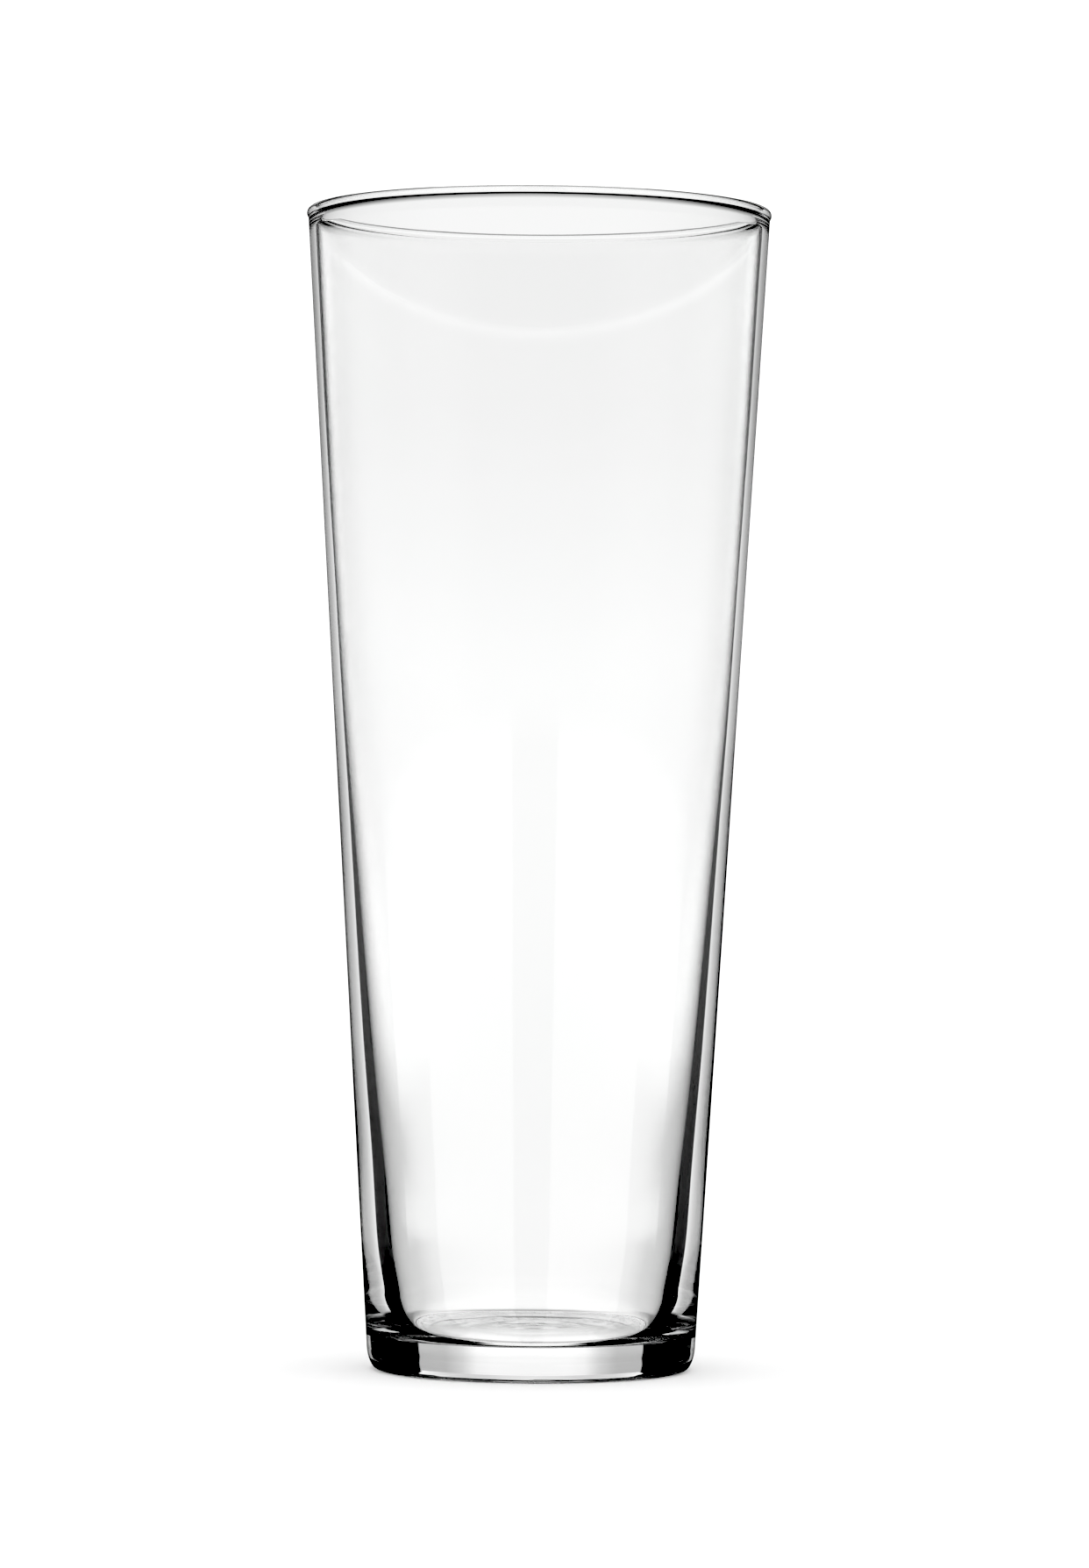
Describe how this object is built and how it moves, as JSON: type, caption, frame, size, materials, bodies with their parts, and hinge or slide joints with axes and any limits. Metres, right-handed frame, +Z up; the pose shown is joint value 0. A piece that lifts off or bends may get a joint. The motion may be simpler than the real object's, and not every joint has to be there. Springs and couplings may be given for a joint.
{
  "type": "pint glass",
  "caption": "Tall straight-sided conical drinking glass with a thick solid foot, thin wall and rounded lip.",
  "frame": {"origin": "centre of the ring the glass stands on, on the surface it stands on", "axes": "+Z up along the axis of the glass, from foot to lip; X and Y are any two directions across it"},
  "size_m": [0.0786, 0.0786, 0.196],
  "materials": {
    "clear_glass": "fire-polished"
  },
  "bodies": {
    "root": {"glass_body": "clear_glass"}
  },
  "joints": []
}
